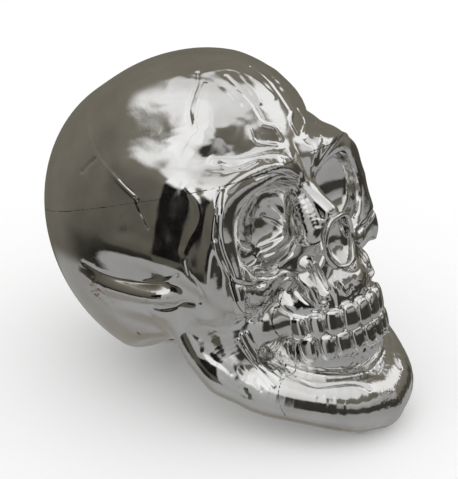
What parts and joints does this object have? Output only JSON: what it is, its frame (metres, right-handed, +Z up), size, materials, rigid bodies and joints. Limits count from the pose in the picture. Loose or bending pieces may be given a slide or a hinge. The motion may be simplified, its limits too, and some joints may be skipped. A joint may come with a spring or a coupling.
{
  "type": "decorative skull",
  "caption": "Hollow chromed human skull ornament with closed jaw, built from lapped shells, standing on small rest pads.",
  "frame": {"origin": "centre of the skull's footprint on the surface it stands on", "axes": "+Z up, face towards -Y, the skull's left side towards +X"},
  "size_m": [0.1242, 0.1886, 0.1485],
  "materials": {
    "chrome_plating": "mirror chrome plating on ABS shells, with light orange peel and a few wear specks",
    "plug_plastic": "matte",
    "pad_rubber": "matte"
  },
  "bodies": {
    "root": {"crown_shell": "chrome_plating", "face_shell": "chrome_plating", "base_shell": "chrome_plating", "base_plug": "plug_plastic", "pad_chin_left": "pad_rubber", "pad_chin_right": "pad_rubber", "pad_back": "pad_rubber"}
  },
  "joints": []
}
